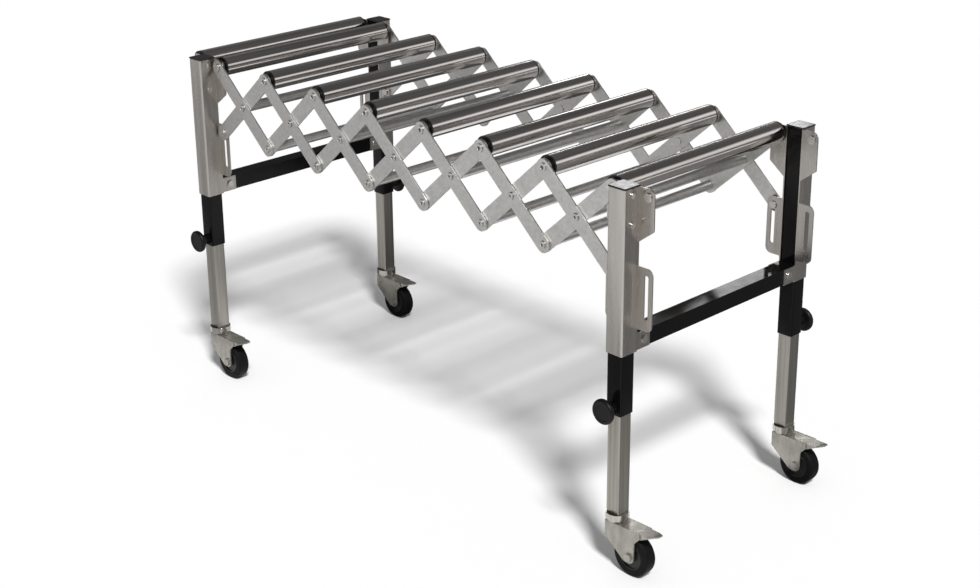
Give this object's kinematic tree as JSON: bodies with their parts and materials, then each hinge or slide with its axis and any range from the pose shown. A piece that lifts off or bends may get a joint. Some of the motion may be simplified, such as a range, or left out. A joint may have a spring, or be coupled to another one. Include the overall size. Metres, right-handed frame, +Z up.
{
  "type": "roller table",
  "caption": "Pull-out roller table: chromed rollers on scissor links between two post frames with telescopic legs and braked swivel casters.",
  "frame": {"origin": "on the floor under the middle of the box around the table, pulled out to its stop", "axes": "+X along the table towards the end without an outer roller, +Y across it, +Z up"},
  "size_m": [1.2934, 0.5578, 0.694],
  "materials": {
    "black_paint": "black gloss paint",
    "bracket_sheet": "zinc plated, satin",
    "cap_plastic": "moulded",
    "fastener_steel": "zinc plated",
    "link_zinc": "zinc plated, satin",
    "roller_end_plastic": "moulded",
    "roller_chrome": "polished",
    "leg_steel": "satin",
    "knob_plastic": "moulded",
    "wheel_rubber": "matt",
    "caster_zinc": "zinc plated"
  },
  "bodies": {
    "left_frame": {"left_frame_tubes": "black_paint", "left_brackets": "bracket_sheet", "left_post_caps": "cap_plastic", "left_fasteners": "fastener_steel"},
    "outer_links_1": {"outer_links_1": "link_zinc"},
    "inner_links_1": {"inner_links_1": "link_zinc"},
    "outer_links_2": {"outer_links_2": "link_zinc"},
    "inner_links_2": {"inner_links_2": "link_zinc"},
    "outer_links_3": {"outer_links_3": "link_zinc"},
    "inner_links_3": {"inner_links_3": "link_zinc"},
    "outer_links_4": {"outer_links_4": "link_zinc"},
    "inner_links_4": {"inner_links_4": "link_zinc"},
    "outer_links_5": {"outer_links_5": "link_zinc"},
    "inner_links_5": {"inner_links_5": "link_zinc"},
    "outer_links_6": {"outer_links_6": "link_zinc"},
    "inner_links_6": {"inner_links_6": "link_zinc"},
    "outer_links_7": {"outer_links_7": "link_zinc"},
    "inner_links_7": {"inner_links_7": "link_zinc"},
    "right_frame": {"right_frame_tubes": "black_paint", "right_brackets": "bracket_sheet", "right_post_caps": "cap_plastic", "right_fasteners": "fastener_steel"},
    "roller_1": {"roller_1": "roller_chrome", "roller_ends_1": "roller_end_plastic"},
    "roller_2": {"roller_2": "roller_chrome", "roller_ends_2": "roller_end_plastic"},
    "roller_3": {"roller_3": "roller_chrome", "roller_ends_3": "roller_end_plastic"},
    "roller_4": {"roller_4": "roller_chrome", "roller_ends_4": "roller_end_plastic"},
    "roller_5": {"roller_5": "roller_chrome", "roller_ends_5": "roller_end_plastic"},
    "roller_6": {"roller_6": "roller_chrome", "roller_ends_6": "roller_end_plastic"},
    "roller_7": {"roller_7": "roller_chrome", "roller_ends_7": "roller_end_plastic"},
    "roller_8": {"roller_8": "roller_chrome", "roller_ends_8": "roller_end_plastic"},
    "roller_9": {"roller_9": "roller_chrome", "roller_ends_9": "roller_end_plastic"},
    "leg_left_near": {"leg_left_near": "leg_steel"},
    "knob_left_near": {"knob_left_near": "knob_plastic"},
    "caster_fork_left_near": {"caster_fork_left_near": "caster_zinc"},
    "wheel_left_near": {"wheel_left_near": "wheel_rubber"},
    "brake_pedal_left_near": {"brake_pedal_left_near": "caster_zinc"},
    "leg_left_far": {"leg_left_far": "leg_steel"},
    "knob_left_far": {"knob_left_far": "knob_plastic"},
    "caster_fork_left_far": {"caster_fork_left_far": "caster_zinc"},
    "wheel_left_far": {"wheel_left_far": "wheel_rubber"},
    "brake_pedal_left_far": {"brake_pedal_left_far": "caster_zinc"},
    "leg_right_near": {"leg_right_near": "leg_steel"},
    "knob_right_near": {"knob_right_near": "knob_plastic"},
    "caster_fork_right_near": {"caster_fork_right_near": "caster_zinc"},
    "wheel_right_near": {"wheel_right_near": "wheel_rubber"},
    "brake_pedal_right_near": {"brake_pedal_right_near": "caster_zinc"},
    "leg_right_far": {"leg_right_far": "leg_steel"},
    "knob_right_far": {"knob_right_far": "knob_plastic"},
    "caster_fork_right_far": {"caster_fork_right_far": "caster_zinc"},
    "wheel_right_far": {"wheel_right_far": "wheel_rubber"},
    "brake_pedal_right_far": {"brake_pedal_right_far": "caster_zinc"}
  },
  "joints": [
    {"name": "fold", "type": "hinge", "parent": "left_frame", "child": "outer_links_1", "pos_m": [-0.55275, 0, 0.675], "axis": [0, 1, 0], "range_deg": [0, 36.03]},
    {"name": "cross_pivot_1", "type": "hinge", "parent": "outer_links_1", "child": "inner_links_1", "pos_m": [-0.47675, 0, 0.60622], "axis": [0, 1, 0], "range_deg": [-72.06, 0]},
    {"name": "top_pivot_2", "type": "hinge", "parent": "inner_links_1", "child": "outer_links_2", "pos_m": [-0.40075, 0, 0.675], "axis": [0, 1, 0], "range_deg": [0, 72.06]},
    {"name": "cross_pivot_2", "type": "hinge", "parent": "outer_links_2", "child": "inner_links_2", "pos_m": [-0.32475, 0, 0.60622], "axis": [0, 1, 0], "range_deg": [-72.06, 0]},
    {"name": "top_pivot_3", "type": "hinge", "parent": "inner_links_2", "child": "outer_links_3", "pos_m": [-0.24875, 0, 0.675], "axis": [0, 1, 0], "range_deg": [0, 72.06]},
    {"name": "cross_pivot_3", "type": "hinge", "parent": "outer_links_3", "child": "inner_links_3", "pos_m": [-0.17275, 0, 0.60622], "axis": [0, 1, 0], "range_deg": [-72.06, 0]},
    {"name": "top_pivot_4", "type": "hinge", "parent": "inner_links_3", "child": "outer_links_4", "pos_m": [-0.09675, 0, 0.675], "axis": [0, 1, 0], "range_deg": [0, 72.06]},
    {"name": "cross_pivot_4", "type": "hinge", "parent": "outer_links_4", "child": "inner_links_4", "pos_m": [-0.02075, 0, 0.60622], "axis": [0, 1, 0], "range_deg": [-72.06, 0]},
    {"name": "top_pivot_5", "type": "hinge", "parent": "inner_links_4", "child": "outer_links_5", "pos_m": [0.05525, 0, 0.675], "axis": [0, 1, 0], "range_deg": [0, 72.06]},
    {"name": "cross_pivot_5", "type": "hinge", "parent": "outer_links_5", "child": "inner_links_5", "pos_m": [0.13125, 0, 0.60622], "axis": [0, 1, 0], "range_deg": [-72.06, 0]},
    {"name": "top_pivot_6", "type": "hinge", "parent": "inner_links_5", "child": "outer_links_6", "pos_m": [0.20725, 0, 0.675], "axis": [0, 1, 0], "range_deg": [0, 72.06]},
    {"name": "cross_pivot_6", "type": "hinge", "parent": "outer_links_6", "child": "inner_links_6", "pos_m": [0.28325, 0, 0.60622], "axis": [0, 1, 0], "range_deg": [-72.06, 0]},
    {"name": "top_pivot_7", "type": "hinge", "parent": "inner_links_6", "child": "outer_links_7", "pos_m": [0.35925, 0, 0.675], "axis": [0, 1, 0], "range_deg": [0, 72.06]},
    {"name": "cross_pivot_7", "type": "hinge", "parent": "outer_links_7", "child": "inner_links_7", "pos_m": [0.43525, 0, 0.60622], "axis": [0, 1, 0], "range_deg": [-72.06, 0]},
    {"name": "right_frame_pivot", "type": "hinge", "parent": "inner_links_7", "child": "right_frame", "pos_m": [0.51125, 0, 0.675], "axis": [0, 1, 0], "range_deg": [0, 36.03]},
    {"name": "roller_1_spin", "type": "hinge", "parent": "left_frame", "child": "roller_1", "pos_m": [-0.62775, 0, 0.675], "axis": [0, 1, 0], "continuous": true},
    {"name": "roller_2_spin", "type": "hinge", "parent": "left_frame", "child": "roller_2", "pos_m": [-0.55275, 0, 0.675], "axis": [0, 1, 0], "continuous": true},
    {"name": "roller_3_spin", "type": "hinge", "parent": "outer_links_2", "child": "roller_3", "pos_m": [-0.40075, 0, 0.675], "axis": [0, 1, 0], "continuous": true},
    {"name": "roller_4_spin", "type": "hinge", "parent": "outer_links_3", "child": "roller_4", "pos_m": [-0.24875, 0, 0.675], "axis": [0, 1, 0], "continuous": true},
    {"name": "roller_5_spin", "type": "hinge", "parent": "outer_links_4", "child": "roller_5", "pos_m": [-0.09675, 0, 0.675], "axis": [0, 1, 0], "continuous": true},
    {"name": "roller_6_spin", "type": "hinge", "parent": "outer_links_5", "child": "roller_6", "pos_m": [0.05525, 0, 0.675], "axis": [0, 1, 0], "continuous": true},
    {"name": "roller_7_spin", "type": "hinge", "parent": "outer_links_6", "child": "roller_7", "pos_m": [0.20725, 0, 0.675], "axis": [0, 1, 0], "continuous": true},
    {"name": "roller_8_spin", "type": "hinge", "parent": "outer_links_7", "child": "roller_8", "pos_m": [0.35925, 0, 0.675], "axis": [0, 1, 0], "continuous": true},
    {"name": "roller_9_spin", "type": "hinge", "parent": "right_frame", "child": "roller_9", "pos_m": [0.51125, 0, 0.675], "axis": [0, 1, 0], "continuous": true},
    {"name": "leg_left_near_slide", "type": "slide", "parent": "left_frame", "child": "leg_left_near", "axis": [0, 0, 1], "range_m": [-0.12, 0.12]},
    {"name": "knob_left_near_turn", "type": "hinge", "parent": "left_frame", "child": "knob_left_near", "pos_m": [-0.59025, -0.2335, 0.3065], "axis": [0, 1, 0], "continuous": true},
    {"name": "caster_left_near_swivel", "type": "hinge", "parent": "leg_left_near", "child": "caster_fork_left_near", "pos_m": [-0.59025, -0.2335, 0], "axis": [0, 0, 1], "continuous": true},
    {"name": "wheel_left_near_spin", "type": "hinge", "parent": "caster_fork_left_near", "child": "wheel_left_near", "pos_m": [-0.54925, -0.2335, 0.0375], "axis": [0, 1, 0], "continuous": true},
    {"name": "brake_left_near_press", "type": "hinge", "parent": "caster_fork_left_near", "child": "brake_pedal_left_near", "pos_m": [-0.53525, -0.2335, 0.083], "axis": [0, 1, 0], "range_deg": [0, 12]},
    {"name": "leg_left_far_slide", "type": "slide", "parent": "left_frame", "child": "leg_left_far", "axis": [0, 0, 1], "range_m": [-0.12, 0.12]},
    {"name": "knob_left_far_turn", "type": "hinge", "parent": "left_frame", "child": "knob_left_far", "pos_m": [-0.59025, 0.2335, 0.3065], "axis": [0, 1, 0], "continuous": true},
    {"name": "caster_left_far_swivel", "type": "hinge", "parent": "leg_left_far", "child": "caster_fork_left_far", "pos_m": [-0.59025, 0.2335, 0], "axis": [0, 0, 1], "continuous": true},
    {"name": "wheel_left_far_spin", "type": "hinge", "parent": "caster_fork_left_far", "child": "wheel_left_far", "pos_m": [-0.54925, 0.2335, 0.0375], "axis": [0, 1, 0], "continuous": true},
    {"name": "brake_left_far_press", "type": "hinge", "parent": "caster_fork_left_far", "child": "brake_pedal_left_far", "pos_m": [-0.53525, 0.2335, 0.083], "axis": [0, 1, 0], "range_deg": [0, 12]},
    {"name": "leg_right_near_slide", "type": "slide", "parent": "right_frame", "child": "leg_right_near", "axis": [0, 0, 1], "range_m": [-0.12, 0.12]},
    {"name": "knob_right_near_turn", "type": "hinge", "parent": "right_frame", "child": "knob_right_near", "pos_m": [0.54875, -0.2335, 0.3065], "axis": [0, 1, 0], "continuous": true},
    {"name": "caster_right_near_swivel", "type": "hinge", "parent": "leg_right_near", "child": "caster_fork_right_near", "pos_m": [0.54875, -0.2335, 0], "axis": [0, 0, 1], "continuous": true},
    {"name": "wheel_right_near_spin", "type": "hinge", "parent": "caster_fork_right_near", "child": "wheel_right_near", "pos_m": [0.58975, -0.2335, 0.0375], "axis": [0, 1, 0], "continuous": true},
    {"name": "brake_right_near_press", "type": "hinge", "parent": "caster_fork_right_near", "child": "brake_pedal_right_near", "pos_m": [0.60375, -0.2335, 0.083], "axis": [0, 1, 0], "range_deg": [0, 12]},
    {"name": "leg_right_far_slide", "type": "slide", "parent": "right_frame", "child": "leg_right_far", "axis": [0, 0, 1], "range_m": [-0.12, 0.12]},
    {"name": "knob_right_far_turn", "type": "hinge", "parent": "right_frame", "child": "knob_right_far", "pos_m": [0.54875, 0.2335, 0.3065], "axis": [0, 1, 0], "continuous": true},
    {"name": "caster_right_far_swivel", "type": "hinge", "parent": "leg_right_far", "child": "caster_fork_right_far", "pos_m": [0.54875, 0.2335, 0], "axis": [0, 0, 1], "continuous": true},
    {"name": "wheel_right_far_spin", "type": "hinge", "parent": "caster_fork_right_far", "child": "wheel_right_far", "pos_m": [0.58975, 0.2335, 0.0375], "axis": [0, 1, 0], "continuous": true},
    {"name": "brake_right_far_press", "type": "hinge", "parent": "caster_fork_right_far", "child": "brake_pedal_right_far", "pos_m": [0.60375, 0.2335, 0.083], "axis": [0, 1, 0], "range_deg": [0, 12]}
  ],
  "couplings": [
    {"joint": "cross_pivot_1", "follows": "fold", "ratio": -2},
    {"joint": "top_pivot_2", "follows": "fold", "ratio": 2},
    {"joint": "cross_pivot_2", "follows": "fold", "ratio": -2},
    {"joint": "top_pivot_3", "follows": "fold", "ratio": 2},
    {"joint": "cross_pivot_3", "follows": "fold", "ratio": -2},
    {"joint": "top_pivot_4", "follows": "fold", "ratio": 2},
    {"joint": "cross_pivot_4", "follows": "fold", "ratio": -2},
    {"joint": "top_pivot_5", "follows": "fold", "ratio": 2},
    {"joint": "cross_pivot_5", "follows": "fold", "ratio": -2},
    {"joint": "top_pivot_6", "follows": "fold", "ratio": 2},
    {"joint": "cross_pivot_6", "follows": "fold", "ratio": -2},
    {"joint": "top_pivot_7", "follows": "fold", "ratio": 2},
    {"joint": "cross_pivot_7", "follows": "fold", "ratio": -2},
    {"joint": "right_frame_pivot", "follows": "fold", "ratio": 1}
  ]
}
